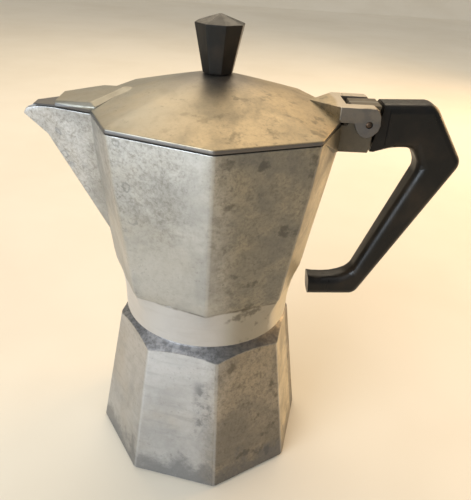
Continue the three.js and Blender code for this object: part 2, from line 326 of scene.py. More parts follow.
taper = (FOOT_R - SHOULDER_R) / SHOULDER_Z
boiler = spun("boiler_casting", [
    (0, 0), (50.5, 0), (51.6, 0.35), (FOOT_R - 1.2, 0.35), (FOOT_R, 1.5), (FOOT_R - taper * 76, 76),
    (0, 76),
], steps=8)
softened = bevel_edges(boiler, upright, 1.1, segments=4)
cone = spun("shoulder cone", [
    (0, -1), (60, -1), (60, SHOULDER_Z - SLOPE * (60 - SHOULDER_R)),
    (40.4, SHOULDER_Z + SLOPE * (SHOULDER_R - 40.4)),
    (38.6, 72.4), (37.2, 73.4), (36.2, 74.6), (35.8, 75.6), (0, 75.6),
], steps=128)
combine(boiler, "INTERSECT", cone)
soften(boiler, 0.35, crease=14)
swing(boiler, BOILER_TURN)
print("boiler: corners rounded:", softened)

# %% [markdown]
# The neck carries a coarse thread. A real thread is cut into the neck, so a ridge
# outline is screwed into a long spiral and taken out of the plain neck. A spiral of
# the same pitch cuts the collector's thread later.

# %% Bore the boiler and cut its thread
THREAD_PITCH = 3
neck = spun("neck", [
    (0, 60), (NECK_R, 60), (NECK_R, NECK_TOP - 0.8), (NECK_R - 0.8, NECK_TOP), (0, NECK_TOP),
], steps=96)
ridge = [(34.5, 77.2), (36.2, 76.2), (36.2, 78.6), (34.5, 77.8)]
groove = climbing("thread groove", ridge, turns=3.2, pitch=THREAD_PITCH)
cut(neck, groove)
glue(boiler, neck)
cavity = spun("water space", [
    (0, 3), (45.6, 3), (47.2, 5), (37.6, 67), (36, 69.5), (MOUTH_R, 73), (MOUTH_R, NECK_TOP + 1),
    (0, NECK_TOP + 1),
])
cut(boiler, cavity)

VALVE_TURN, VALVE_Z = 120.75, 46


def lay_on_valve_axis(piece):
    """Turn a piece drawn about Z so that it points out through the boiler's side."""
    out = math.radians(VALVE_TURN)
    stand = Matrix(((-math.sin(out), 0, math.cos(out)), (math.cos(out), 0, math.sin(out)), (0, 1, 0)))
    piece.data.transform(Matrix.Translation((0, 0, VALVE_Z * MM)) @ stand.to_4x4())
    return piece


pad = lay_on_valve_axis(spun("valve pad", [(0, 40), (8.5, 40), (8.5, 45), (0, 45)], steps=48))
hole = lay_on_valve_axis(spun("valve hole", [(0, 30), (4.45, 30), (4.45, 60), (0, 60)], steps=48))
glue(boiler, pad)
cut(boiler, hole)
settle(boiler, "boiler", "boiler")

# %% [markdown]
# ## The collector
# The upper half is an octagon that widens to the rim. Its foot is a round collar,
# turned on a lathe, and above it the circle runs out into the octagon. Rings of
# points at rising heights describe all of this: the lower rings are circles, the
# upper ones octagons, and bridging them gives one clean skin.

# %% Cast the collector's skin
RIM_Z, FLOOR_Z, UNDERSIDE = 175.94, 98.5, 94.5
AROUND_RING = 96


def octagon_reach(corner, angle):
    """How far an octagon with a corner on +X reaches at an angle."""
    middle = math.pi / 8
    return corner * math.cos(middle) / math.cos(angle % (2 * middle) - middle)


def bridged(name, rings):
    """A closed skin over stacked rings, each given as (height, reach at an angle)."""
    loops = []
    for z, reach in rings:
        angles = [math.tau * i / AROUND_RING for i in range(AROUND_RING)]
        loop = traced(name, [(reach(a) * math.cos(a), reach(a) * math.sin(a), z) for a in angles])
        edit(loop)
        bpy.ops.mesh.edge_face_add()
        if 0 < len(loops) < len(rings) - 1:
            bpy.ops.mesh.delete(type="ONLY_FACE")
        leave()
        loops.append(loop)
    bpy.ops.object.select_all(action="DESELECT")
    for loop in loops:
        loop.select_set(True)
    bpy.context.view_layer.objects.active = loops[0]
    bpy.ops.object.join()
    skin = loops[0]
    mark(skin, lambda e: True)
    edit(skin)
    bpy.ops.mesh.bridge_edge_loops()
    face_out()
    return skin


def circle(radius):
    return lambda angle: radius


def octagon(corner):
    return lambda angle: octagon_reach(corner, angle)


def run_out(corner, radius):
    """The turned circle still shows in the middle of each side, the octagon at its corners."""
    return lambda angle: max(octagon_reach(corner, angle), radius)


collector = bridged("collector_casting", [
    (77.18, circle(39.95)), (77.35, circle(40.35)), (77.8, circle(40.53)), (87.5, circle(40.9)),
    (96.5, run_out(44.8, 41.95)), (97, run_out(45, 42)), (97.6, octagon(45.3)), (99.4, octagon(46.2)),
    (104, octagon(47.1)), (116, octagon(49)), (158.4, octagon(56.1)), (RIM_Z, octagon(58.18)),
])


def above_collar(a, b):
    """True for an edge that climbs a facet's corner above the collar."""
    return upright(a, b) and at_corner(a) and min(a.z, b.z) > 96.9


corners = bevel_edges(collector, above_collar, 1.3, segments=4)
soften(collector, 0.35, crease=50)
print("collector: skin of", len(collector.data.polygons), "faces,", corners, "corner edges rounded")

# %% [markdown]
# The spout is a wedge that grows out of two faces and meets in a sharp keel, with a
# beak at the top. Both are wrapped from their corner points, and the same shapes,
# a wall smaller, hollow them out. The bracket that carries the handle and the hinge
# pin is a plate with a fin to each side.

# %% Add the spout and the bracket
SPOUT = both_sides([
    (-45, 15, RIM_Z), (-51.7, 15.6, RIM_Z), (-67.8, 9.3, RIM_Z), (-77, 4, 174.9), (-76.2, 1.2, 164.9),
    (-67.9, 1.3, 151.3), (-53, 1.3, 126.9), (-45, 1, 109),
])
BEAK = both_sides([
    (-84.2, 0.8, 170.4), (-82.6, 1.7, 173), (-77, 4, 174.9), (-66, 9.5, RIM_Z), (-78.2, 1.2, 167.1),
    (-72, 2, 160), (-66, 6, 168),
])
SPOUT_INSIDE = both_sides([
    (-42, 12.6, 179), (-50.5, 12.8, 179), (-67, 6.8, 179), (-76.5, 1.7, 179), (-75, 0.6, 168.6),
    (-65.4, 0.6, 153.4), (-51, 0.6, 130), (-42, 0.6, 117),
])
BEAK_INSIDE = both_sides([(-75, 2, 179), (-87, 0.8, 179), (-87, 0.4, 172), (-76, 0.6, 169.5), (-70, 2, 169)])
LUG = [
    (49, 163.7), (67.3, 163.8), (68.1, 170), (68, 173), (67.7, 177), (67.2, 179.3), (65.4, 180.1),
    (57.4, 180.1), (56.6, RIM_Z), (49, RIM_Z),
]
LUG_HALF, RAISED_HALF = 10.9, 6.7
RAISED = [
    (52, 168), (68.7, 168), (71.6, 183.9), (58.5, 183.6), (56.7, 179.5), (56.4, RIM_Z), (52, RIM_Z),
]

glue(collector, soften(wrapped("spout", SPOUT), 0.45), soften(wrapped("beak", BEAK), 0.3))
glue(collector, soften(plate("lug", LUG, -LUG_HALF, LUG_HALF), 0.5))
glue(collector, soften(plate("raised middle", RAISED, -RAISED_HALF, RAISED_HALF), 0.5))
fin = [(42.6, 37.4, RIM_Z), (40, 33, 172), (46, 9, 160), (54.3, LUG_HALF, 163.7), (54.3, LUG_HALF, RIM_Z)]
for side in (1, -1):
    glue(collector, soften(wrapped("fin", [(x, side * y, z) for x, y, z in fin]), 0.5))
print("collector: spout and bracket joined")

# %% [markdown]
# Everything that is empty comes out next: the bowl, the threaded bore below its
# floor, the channel of the spout, the slot for the handle's tongue and the hole for
# the hinge pin.

# %% Hollow the collector
bowl = spun("bowl space", [
    (0, FLOOR_Z), (39, FLOOR_Z), (41, FLOOR_Z + 0.9), (42.2, FLOOR_Z + 3), (45.6, 116), (52.9, 158.4),
    (55.18, RIM_Z), (55.4, RIM_Z + 8), (0, RIM_Z + 8),
], steps=8)
bevel_edges(bowl, upright, 2, segments=4)
bore = spun("threaded bore", [
    (0, 76.2), (36.6, 76.2), (35.9, 77.9), (35.9, NECK_TOP + 0.6), (33.6, NECK_TOP + 2.2),
    (33.6, UNDERSIDE), (20, UNDERSIDE), (8, UNDERSIDE + 0.6), (7.4, UNDERSIDE + 1), (7.4, FLOOR_Z + 1),
    (0, FLOOR_Z + 1),
], steps=96)
ridge = [(35.2, 77.4), (36.8, 78.4), (36.8, 78.8), (35.2, 79.8)]
glue(bore, climbing("inner thread", ridge, turns=3, pitch=THREAD_PITCH))
channels = wrapped("spout channel", SPOUT_INSIDE), wrapped("beak channel", BEAK_INSIDE)
cut(collector, bowl, bore, *channels)


def block(name, low, high):
    """A squared block between two corners, in millimetres."""
    outline = [(low[0], low[2]), (high[0], low[2]), (high[0], high[2]), (low[0], high[2])]
    return plate(name, outline, low[1], high[1])


PIN_X, PIN_Z, PIN_R, PIN_HALF, PIN_HOLE_R = 65.44, 177, 1.45, 13, 1.55
SLOT_HALF, TENON_HALF, NOTCH_HALF, NECK_HALF = 4, 3.7, 7.05, 6.75


def across(name, profile):
    """A turned piece laid along the hinge: [radius, distance from the middle]."""
    piece = spun(name, profile, steps=32)
    hinge = Matrix.Translation((PIN_X * MM, 0, PIN_Z * MM))
    piece.data.transform(hinge @ Matrix.Rotation(-math.pi / 2, 4, "X"))
    return piece


def pin_hole():
    return across("pin hole", [(0, -20), (PIN_HOLE_R, -20), (PIN_HOLE_R, 20), (0, 20)])


slot = block("tongue slot", (59.5, -SLOT_HALF, 166.5), (75, SLOT_HALF, 180.3))
cut(collector, slot, pin_hole())
settle(collector, "collector", "collector", reach=0.001)

# %% [markdown]
# ## The lid
# The lid is an octagon too, but its top is nearly a cone, bowed up a little towards
# the knob. Where that cone meets the eight sides, the edge rises in the middle of
# each side. A raised cover runs out over the spout in two steps, and at the back a
# plate with two ears holds the hinge pin.

# %% Cast the lid
LID_R, LID_Z, LID_WALL = 58.38, 176.4, 2.2
DOME_FOOT, DOME_TOP, KNOB_SEAT, BOWED = 178.2, 192.3, 6.7, 0.1


def dome_height(radius):
    t = (LID_R - radius) / (LID_R - KNOB_SEAT)
    return DOME_FOOT + (DOME_TOP - DOME_FOOT) * (t + BOWED * t * (1 - t))


def between(share, corner, radius):
    """A ring that is share parts octagon and the rest circle."""
    return lambda angle: share * octagon_reach(corner, angle) + (1 - share) * radius


def dome(name, base, drop):
    """A straight octagonal edge, then rings that grow rounder and rounder up to the knob."""
    rings = [(base, octagon(LID_R)), (DOME_FOOT - drop, octagon(LID_R))]
    for radius in (54, 49, 43, 36, 29, 22, 16, 11, KNOB_SEAT):
        share = ((radius - KNOB_SEAT) / (LID_R - KNOB_SEAT)) ** 1.5
        rings.append((dome_height(radius) - drop, between(share, radius, radius * (1 - 0.04 * share))))
    return bridged(name, rings)


lid = dome("lid_casting", LID_Z, 0)
bevel_edges(lid, lambda a, b: upright(a, b) and at_corner(a) and max(a.z, b.z) < DOME_FOOT + 0.1, 0.9)
soften(lid, 0.4, crease=40)
COVER = [(-36, 0, 184.4), (-39.8, 0, 184.4)] + both_sides([
    (-51.5, 14.9, 180.8), (-68, 7.6, 178.8), (-49.4, 17.4, 179.2), (-68, 8.8, 178.1),
    (-40, 10, LID_Z), (-51.7, 15.7, LID_Z), (-68, 9.1, LID_Z),
])
LIP = both_sides([(-66, 8.8, 177), (-78.6, 3, 175.8), (-66, 9.6, LID_Z), (-79, 3.3, 175.2)])
COVER_INSIDE = both_sides([
    (-44, 11.5, 170), (-52, 12.2, 170), (-67, 6.4, 170), (-44, 9, 180), (-52, 10.5, 178.6),
    (-66, 5.4, 177.3),
])
PLATE_Z, EAR_OUT, EAR_IN = 184.2, 13.1, 11.3
WEDGE = [(40.6, 0, 183.4), (45, 0, 178)] + both_sides([
    (52.4, EAR_OUT, PLATE_Z), (57, EAR_OUT, PLATE_Z), (52.4, EAR_OUT, 177.4), (57, EAR_OUT, 177.4),
])
EARS = [
    (52.4, 177.4), (58.9, 177.4), (60.2, 174.5), (61.2, 173), (62.4, 172), (63.7, 171.4), (65, 171.2),
    (66.4, 171.5), (67.8, 172.3), (69.7, 174.4), (70.4, 177), (70, 181), (68.8, 183.4), (67.6, PLATE_Z),
    (52.4, PLATE_Z),
]
cover = soften(wrapped("beak cover", COVER), 0.35, crease=14)
glue(lid, cover, soften(wrapped("beak lip", LIP), 0.25))
hinge_plate = glue(wrapped("hinge plate", WEDGE), plate("ears", EARS, -EAR_OUT, EAR_OUT))
glue(lid, soften(hinge_plate, 0.4))
inside = LID_R - 3
hollow = spun("lid space", [(0, LID_Z - 1), (inside, LID_Z - 1), (inside, 200), (0, 200)], steps=8)
combine(hollow, "INTERSECT", dome("inner dome", LID_Z - 2, LID_WALL))
cut(lid, hollow, wrapped("cover space", COVER_INSIDE))
cut(lid, block("between the ears", (56, -EAR_IN, 165), (80, EAR_IN, 180.5)))
notch = block("notch", (55.6, -NOTCH_HALF, 165), (80, NOTCH_HALF, 190))
cut(lid, notch, pin_hole())
cut(lid, spun("knob hole", [(0, 180), (2.2, 180), (2.2, 200), (0, 200)], steps=32))
settle(lid, "lid", "lid")

# %% [markdown]
# ## The handle
# Phenolic resin is pressed in a hot steel mould, so the handle has flat sides, a
# draft and rounded edges. Its outline is traced and pulled to a thickness, and a
# taper makes it thinner towards the toe. Then every edge that a hand meets gets one
# wide round. The neck is cut narrower, to pass between the lid's ears, and a tenon
# goes into the bracket's slot.

# %% Mould the handle
GRIP = [
    (73, 184.4), (96, 185.6), (113.2, 159.2), (75.2, 85.2), (51, 84.2), (50.2, 94.9), (55.4, 94.3),
    (64.5, 95.4), (71.2, 98.8), (93.6, 156.4), (89.2, 165.2), (81.2, 165), (72.8, 163), (69.2, 163.2),
    (70.5, 170),
]
GRIP_HALF, DRAFT, GRIP_ROUND = 4.01, 0.476, 3.9
handle = plate("handle_moulding", GRIP, -GRIP_HALF, GRIP_HALF)
draft = handle.modifiers.new("draft", "SIMPLE_DEFORM")
draft.deform_method, draft.deform_axis, draft.lock_x, draft.factor = "TAPER", "Z", True, DRAFT
apply_all(handle)


def grip_edge(a, b):
    """True for edges that a hand meets: not the toe's flat end, nor the end at the bracket."""
    at_toe, at_bracket = max(a.x, b.x) <= 51.5, max(a.x, b.x) < 73.5 and min(a.z, b.z) > 160
    return not at_toe and not at_bracket


rounded = bevel_edges(handle, grip_edge, GRIP_ROUND, segments=7, clamp=False)
print("handle: rounded", rounded, "edges")
for side in (1, -1):
    low, high = sorted((NECK_HALF * side, 12 * side))
    cut(handle, block("neck relief", (60, low, 155), (75.6, high, 190)))
glue(handle, block("tenon", (60, -TENON_HALF, 166.8), (76, TENON_HALF, 180)))
cut(handle, pin_hole())
settle(handle, "handle", "collector")

# %% [markdown]
# ## The knob and its fixings
# The knob is an eight-sided cup shape with a low pyramid on top. It is moulded on a
# brass insert, and a screw comes up through the lid with a washer under it.

# %% Mould the knob
KNOB_Z, KNOB_TURN = DOME_TOP + 0.3, 14.08
knob = spun("knob_moulding", [
    (0, KNOB_Z), (6.3, KNOB_Z), (6.74, KNOB_Z + 0.5), (10.91, 213.2), (0, 217),
], steps=8)
soften(knob, 0.55, crease=15, segments=3)
pocket = spun("insert pocket", [(0, 190), (3.3, 190), (3.3, 203.3), (0, 203.3)], steps=32)
cut(knob, pocket)
swing(knob, KNOB_TURN)
settle(knob, "knob", "lid")

under = DOME_TOP - LID_WALL
head = under - 1.3
screw = spun("knob_fixing_screw", [
    (0, head - 2.4), (1.6, head - 2.3), (2.6, head - 1.9), (3.6, head - 1.2), (3.9, head - 0.5),
    (3.9, head), (1.8, head), (1.8, 201.5), (1.2, 202.2), (0, 202.2),
], steps=32)
cut(screw, block("driver slot", (-5, -0.5, head - 3), (5, 0.5, head - 1.2)))
settle(screw, "knob_screw", "lid")

# %% [markdown]
# ## The hinge pin
# The pin is a steel rod with its ends hammered over. Each end is a low dome inside
# the hole of its ear, dark with old grease.

# %% Turn the hinge pin
pin = across("hinge_pin_rod", [
    (0, -PIN_HALF), (0.8, -PIN_HALF + 0.08), (1.25, -PIN_HALF + 0.35), (PIN_R, -PIN_HALF + 0.8),
    (PIN_R, PIN_HALF - 0.8), (1.25, PIN_HALF - 0.35), (0.8, PIN_HALF - 0.08), (0, PIN_HALF),
])
settle(pin, "hinge_pin", "collector")

# %% [markdown]
# ## Inside the pot
# Water boils in the lower half and climbs the funnel, so the pot hides a funnel, a
# screen, a gasket, a filter plate and a riser. Most are lathe work: each ring below
# is one closed outline, spun. The discs are then punched: one pin is spun into a
# circle of copies, and each circle of pins is cut out at once.

# %% Turn the funnel, the seal and the riser
def turned_ring(name, profile, steps, node, body):
    """A ring or tube, spun from a closed outline and settled."""
    piece = spun(name, [*profile, profile[0]], steps)
    settle(piece, node, body)
    return piece


funnel = turned_ring("funnel_spun", [
    (33.4, 88.3), (33.75, 88.45), (33.8, 88.8), (33.75, 89.1), (33.4, 89.3), (29.9, 89.3), (29.6, 89),
    (29, 66.8), (28, 66.3), (5.4, 61.3), (4.5, 60.2), (4, 57), (3.7, 9), (4.6, 9), (4.9, 56.6), (5.2, 59.2),
    (6, 60.4), (28.9, 65.6), (29.9, 66.3), (30.3, 87.6), (30.7, 88.3),
], 96, "funnel", "funnel")
seal = turned_ring("gasket_ring", [
    (26.8, 90), (27.2, 89.6), (32.8, 89.6), (33.2, 90), (33.2, 92.7), (32.8, 93.1), (27.2, 93.1),
    (26.8, 92.7),
], 96, "gasket", "gasket")


HOLE_R, HOLE_PITCH = 0.55, 3


def punched(disc, low, high, reach):
    """Cut circles of round holes through a disc, each a pitch further out, as far as reach."""
    for circle_radius in range(4, reach, HOLE_PITCH):
        count = int(math.tau * circle_radius / HOLE_PITCH)
        pins = spun("pins", [(0, low), (HOLE_R, low), (HOLE_R, high), (0, high)], steps=12)
        edit(pins)
        bpy.ops.transform.translate(value=(circle_radius * MM, 0, 0))
        angle = math.tau * ((count - 1) / count)
        bpy.ops.mesh.spin(steps=count - 1, angle=angle, dupli=True, center=(0, 0, 0), axis=(0, 0, 1))
        leave()
        cut(disc, pins)
    return disc


discs = []
for name, rim, low, reach, node, rides in (
    ("funnel_screen_disc", 28.5, 67.2, 27, "funnel_screen", "funnel"),
    ("filter_plate_disc", 32.6, 93.4, 26, "filter_plate", "filter_plate"),
):
    disc = spun(name, [
        (0, low), (rim - 0.15, low), (rim, low + 0.2), (rim, low + 0.6), (rim - 0.15, low + 0.8),
        (0, low + 0.8),
    ])
    punched(disc, low - 1, low + 2, reach)
    settle(disc, node, rides)
    discs.append(disc)

riser = spun("riser_column", [
    (0, 95.1), (6.7, 95.1), (7, 95.4), (7, 98.8), (9.5, 98.8), (9.4, 99.6), (9, 100.6), (7.4, 102.2),
    (6.6, 104), (5.9, 126), (5.2, 148), (5, 149.6), (4.4, 151), (3, 152), (0, 152.5),
], steps=64)
tube = spun("riser bore", [(0, 90), (4.4, 90), (3.2, 148), (2.4, 148.5), (0, 148.6)], steps=48)
cut(riser, tube, block("slots", (-1.3, -9, 141), (1.3, 9, 147)))
settle(riser, "riser_tube", "collector")

# %% [markdown]
# ## The safety valve
# A brass body screws into the side of the boiler on a fibre washer. A steel plunger
# sits on a seat inside it and a real coil spring holds it there. When the pressure
# lifts the plunger, the coil is squeezed against the nose.

# %% Turn the valve and coil its spring
body = spun("valve_hex", [(0, 46.6), (6.2, 46.6), (6.93, 47), (6.93, 51.2), (6.2, 51.6), (0, 51.6)], steps=6)
shank = spun("shank", [(0, 36.5), (3.9, 36.5), (4.2, 36.8), (4.2, 47), (0, 47)], steps=48)
ridge = [(3.85, 37.4), (4.6, 37), (4.6, 37.9), (3.85, 37.5)]
cut(shank, climbing("valve thread", ridge, turns=7, pitch=1, steps=32))
nose = spun("nose", [(0, 51), (4.6, 51), (4.6, 54.4), (4.3, 55), (3.8, 55.5), (0, 55.5)], steps=48)
glue(body, shank, nose)
chamber = spun("chamber", [(0, 36), (2.6, 36), (2.6, 53.6), (1.3, 53.6), (1.3, 56), (0, 56)], steps=40)
cut(body, chamber)
plunger = spun("valve_plunger_pin", [
    (0, 38.8), (1.9, 38.8), (2.1, 39), (2.1, 40.1), (1.9, 40.3), (0.9, 40.3), (0.9, 56.4), (0.7, 56.85),
    (0.3, 57), (0, 57),
], steps=32)
washer = spun("valve_fibre_washer", [
    (4.8, 45.3), (7.4, 45.3), (7.4, 46.3), (4.8, 46.3), (4.8, 45.3),
], steps=48)
seat = spun("valve_seat_ring", [
    (1.2, 37), (2.3, 37), (2.3, 38.5), (1.5, 38.5), (1.2, 38.2), (1.2, 37),
], steps=40)
COIL_R, COIL_Z, WIRE_R, WIRE_SIDES = 1.65, 40.95, 0.28, 10
round_wire = [math.tau * i / WIRE_SIDES for i in range(WIRE_SIDES)]
wire_round = [(COIL_R + WIRE_R * math.cos(a), COIL_Z + WIRE_R * math.sin(a)) for a in round_wire]
coil = climbing("valve_coil", [*wire_round, wire_round[0]], turns=8, pitch=1.5, steps=24)
for piece, node, rides, slot in (
    (body, "valve_body", "boiler", "brass"), (plunger, "valve_plunger", "valve_plunger", "steel"),
    (washer, "valve_washer", "boiler", "fibre"), (seat, "valve_seat", "boiler", "brass"),
    (coil, "valve_spring", "boiler", "steel"),
):
    lay_on_valve_axis(piece)
    settle(piece, node, rides)
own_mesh(coil)

insert = turned_ring("knob_brass_insert", [
    (2.1, KNOB_Z), (3, KNOB_Z), (3, 197.4), (2.8, 197.7), (2.8, 198.4), (3, 198.7), (3, 203), (2.1, 203),
], 32, "knob_insert", "lid")
under_washer = turned_ring("knob_under_washer", [
    (2.2, under - 1), (4.8, under - 1), (5, under - 0.8), (5, under - 0.3), (2.2, under - 0.3),
], 48, "knob_washer", "lid")

# %% [markdown]
# ## Floor and light
# The pot stands on a plain pale surface that sweeps up behind it, so no horizon
# line shows. Soft light comes from large panels: a broad one above, a cooler one
# from the left, and a warm one from the right and behind. A wide, weak sun and a dim
# sky fill in the rest. The panels themselves are hidden from the camera.

# %% Lay the floor and hang the lights
FLOOR_EDGE = -4000
sweep = traced("sweep", [(FLOOR_EDGE, y, z) for y, z in (
    (-1500, -0.05), (2200, -0.05), (2900, 200), (3200, 900), (3300, 3000),
)])
edit(sweep)
bpy.ops.mesh.extrude_region_move(TRANSFORM_OT_translate={"value": (8, 0, 0)})
face_out()


def panel(name, place, look_at, size, watts, colour):
    """A soft rectangular light that faces a point."""
    bpy.ops.object.light_add(type="AREA", location=place)
    light = bpy.context.object
    light.name = name
    light.data.shape, light.data.size, light.data.size_y = "RECTANGLE", size[0], size[1]
    light.data.energy, light.data.color = watts, colour
    light.visible_camera = False
    light.rotation_euler = (Vector(look_at) - Vector(place)).to_track_quat("-Z", "Y").to_euler()


panel("window", (-0.72, -0.8, 0.28), (0, 0, 0.1), (0.8, 0.5), 13.5, (0.8, 0.9, 1))
panel("ceiling", (-0.05, 0.75, 1.0), (0, 0, 0.12), (1.2, 0.8), 9, (1, 0.84, 0.62))
panel("warm wall", (0.8, 0.5, 0.42), (0, 0, 0.12), (0.6, 0.5), 7, (1, 0.64, 0.3))

bpy.ops.object.light_add(type="SUN", rotation=(math.radians(38), 0, math.radians(-50)))
sun = bpy.context.object
sun.name = "soft day"
sun.data.energy, sun.data.angle, sun.data.color = 1.1, math.radians(70), (1, 0.97, 0.92)

world = bpy.data.worlds.new("soft room")
bpy.context.scene.world = world
world.use_nodes = True
sky = world.node_tree.nodes["Background"].inputs
sky["Color"].default_value = (0.9, 0.86, 0.79, 1)
sky["Strength"].default_value = 0.38

# %% [markdown]
# ## Building finishes from nodes
# Every finish here is procedural, read from Object coordinates, which are metres on
# each piece. Small helpers keep the wiring readable: one adds a node and feeds its
# inputs, and the others are the everyday steps, such as a fade between two limits.

# %% Wire nodes
def feed(tree, made, feeds):
    """Set a node's inputs, or link them to other sockets."""
    for key, value in feeds.items():
        socket = made.inputs[key]
        if isinstance(value, bpy.types.NodeSocket):
            tree.links.new(value, socket)
        else:
            socket.default_value = value


def wire(tree, kind, feeds=None, **settings):
    """Add a node, set its options, and feed its inputs with values or other sockets."""
    made = tree.nodes.new("ShaderNode" + kind)
    for key, value in settings.items():
        setattr(made, key, value)
    feed(tree, made, feeds or {})
    return made


def calc(tree, how, *values):
    return wire(tree, "Math", dict(enumerate(values)), operation=how).outputs[0]


def chain(tree, how, first, *others):
    """The same step of arithmetic, repeated along a row of values."""
    for other in others:
        first = calc(tree, how, first, other)
    return first


def times(tree, *values):
    return chain(tree, "MULTIPLY", *values)


def most(tree, *values):
    return chain(tree, "MAXIMUM", *values)


def inverse(tree, value):
    return calc(tree, "SUBTRACT", 1.0, value)


def line(tree, value, slope, start):
    return calc(tree, "MULTIPLY_ADD", value, slope, start)


def fade(tree, value, low, high, bottom=0.0, top=1.0):
    """A smooth step from bottom to top while the value goes from low to high."""
    feeds = {"Value": value, "From Min": low, "From Max": high, "To Min": bottom, "To Max": top}
    return wire(tree, "MapRange", feeds, interpolation_type="SMOOTHSTEP").outputs[0]


def band(tree, value, start, full, ending, gone):
    """1 from full to ending, and 0 before start and after gone."""
    return times(tree, fade(tree, value, start, full), fade(tree, value, ending, gone, 1.0, 0.0))


def mixed(tree, share, *colours):
    """A colour between two colours, each a socket or plain red, green and blue."""
    first, second = [(*colour, 1) if isinstance(colour, tuple) else colour for colour in colours]
    feeds = {0: share, 6: first, 7: second}
    return wire(tree, "Mix", feeds, data_type="RGBA").outputs[2]


def tinted(colour, amount):
    return tuple(min(1, v * amount) for v in colour)


def cloud(tree, place, scale, detail=3.0, rough=0.55, warp=0.0):
    feeds = {"Vector": place, "Scale": scale, "Detail": detail, "Roughness": rough, "Distortion": warp}
    return wire(tree, "TexNoise", feeds).outputs[0]


def places(tree, stretch=(1, 1, 1), shift=(0, 0, 0)):
    """Object coordinates, moved and stretched."""
    here = wire(tree, "TexCoord").outputs["Object"]
    return wire(tree, "Mapping", {"Vector": here, "Location": shift, "Scale": stretch}).outputs[0]


def axes(tree):
    """The X, Y and Z of each point."""
    return wire(tree, "SeparateXYZ", {0: places(tree)}).outputs


def from_axis(tree, x, y):
    return calc(tree, "SQRT", calc(tree, "ADD", times(tree, x, x), times(tree, y, y)))


def new_group(name, inputs, outputs):
    """An empty shader node group with number inputs, given with their usual values."""
    group = bpy.data.node_groups.new(name, "ShaderNodeTree")
    sockets = group.interface
    for label, usual in inputs.items():
        made = sockets.new_socket(name=label, in_out="INPUT", socket_type="NodeSocketFloat")
        made.default_value = usual
    for label in outputs:
        sockets.new_socket(name=label, in_out="OUTPUT", socket_type="NodeSocketFloat")
    return group, group.nodes.new("NodeGroupInput").outputs, group.nodes.new("NodeGroupOutput").inputs


def place_group(tree, group, **feeds):
    return wire(tree, "Group", feeds, node_tree=group).outputs


# %% [markdown]
# ## What age does to aluminium
# Bare aluminium grows a dull oxide, darkest in clouds and in fine specks, and water
# that dries on it leaves small dark rings. Hands and cloths polish the corners
# again. Each of these is one node group, so all three castings can share them in
# different amounts.

# %% Tarnish: clouds, specks and dried rings
RAGGED = (0.0028, 0.0028, 0.0028)


def tarnish_group():
    usual = {"Cover": 0.5, "Rings": 0.5, "Seed": 0.0}
    group, given, out = new_group("tarnish", usual, ["Clouds", "Specks", "Rings"])
    here = wire(group, "TexCoord").outputs["Object"]
    shift = wire(group, "CombineXYZ", dict.fromkeys(range(3), given["Seed"])).outputs[0]
    spot = wire(group, "VectorMath", {0: here, 1: shift}, operation="ADD").outputs[0]
    limit = calc(group, "SUBTRACT", 0.75, times(group, given["Cover"], 0.5))
    low, high = calc(group, "SUBTRACT", limit, 0.12), calc(group, "ADD", limit, 0.16)
    clouds = fade(group, cloud(group, spot, 38, 5, 0.62, 0.4), low, high)
    fine, patches = cloud(group, spot, 620, 3, 0.65), cloud(group, spot, 95, 3, 0.6)
    specks = times(group, fade(group, fine, 0.53, 0.72), fade(group, patches, 0.42, 0.62))
    warped = wire(group, "TexNoise", {"Vector": spot, "Scale": 420.0, "Detail": 3.0}).outputs[1]
    push = {0: warped, 1: RAGGED, 2: spot}
    pushed = wire(group, "VectorMath", push, operation="MULTIPLY_ADD").outputs[0]
    net = {"Vector": pushed, "Scale": 330.0}
    cells = wire(group, "TexVoronoi", net, feature="DISTANCE_TO_EDGE").outputs[0]
    mesh = times(group, fade(group, cells, 0.02, 0.2, 0.35, 0.0), fade(group, patches, 0.38, 0.6))
    drops = wire(group, "TexVoronoi", {"Vector": pushed, "Scale": 125.0}).outputs[0]
    here_and_there = fade(group, cloud(group, spot, 55, 2, 0.5), 0.48, 0.56)
    drop = times(group, band(group, drops, 0.14, 0.2, 0.24, 0.33), here_and_there)
    rings = times(group, most(group, mesh, drop), given["Rings"])
    for label, value in (("Clouds", clouds), ("Specks", specks), ("Rings", rings)):
        group.links.new(value, out[label])
    return group


# %% Worn corners and tool lines
def corner_group():
    """How near a point is to a corner line of an octagon about Z."""
    group, given, out = new_group("worn corners", {"Turn": 0.0, "Width": 1.0}, ["Worn"])
    x, y, _ = axes(group)
    angle = calc(group, "SUBTRACT", calc(group, "ARCTAN2", y, x), calc(group, "RADIANS", given["Turn"]))
    eighth = calc(group, "PINGPONG", calc(group, "ADD", angle, math.tau), math.pi / 8)
    away = times(group, eighth, from_axis(group, x, y), 1 / MM)
    ragged = times(group, cloud(group, places(group), 300, 3), times(group, given["Width"], 2.0))
    near = fade(group, calc(group, "SUBTRACT", away, ragged), 0.0, 0.7, 1.0, 0.0)
    group.links.new(near, out["Worn"])
    return group


def lines_group():
    """Fine level lines, as a lathe or a cloth leaves them."""
    group, given, out = new_group("level lines", {}, ["Lines", "Streaks"])
    group.links.new(cloud(group, places(group, (30, 30, 2600)), 1, 2, 0.5), out["Lines"])
    group.links.new(cloud(group, places(group, (55, 55, 420)), 1, 3, 0.6), out["Streaks"])
    return group


TARNISH, CORNERS, LINES = tarnish_group(), corner_group(), lines_group()
print("node groups:", [group.name for group in (TARNISH, CORNERS, LINES)])


# %% Start a finish
def new_finish(name):
    material = bpy.data.materials.new(name)
    material.use_nodes = True
    return material, material.node_tree, material.node_tree.nodes["Principled BSDF"]


def rise(tree, height, depth, softness):
    """A bump from a height that goes from 0 to 1, with its depth in millimetres."""
    feeds = {"Height": height, "Distance": depth * MM, "Strength": softness}
    return wire(tree, "Bump", feeds).outputs[0]


def wear(material, *pieces):
    for piece in pieces:
        piece.data.materials.clear()
        piece.data.materials.append(material)


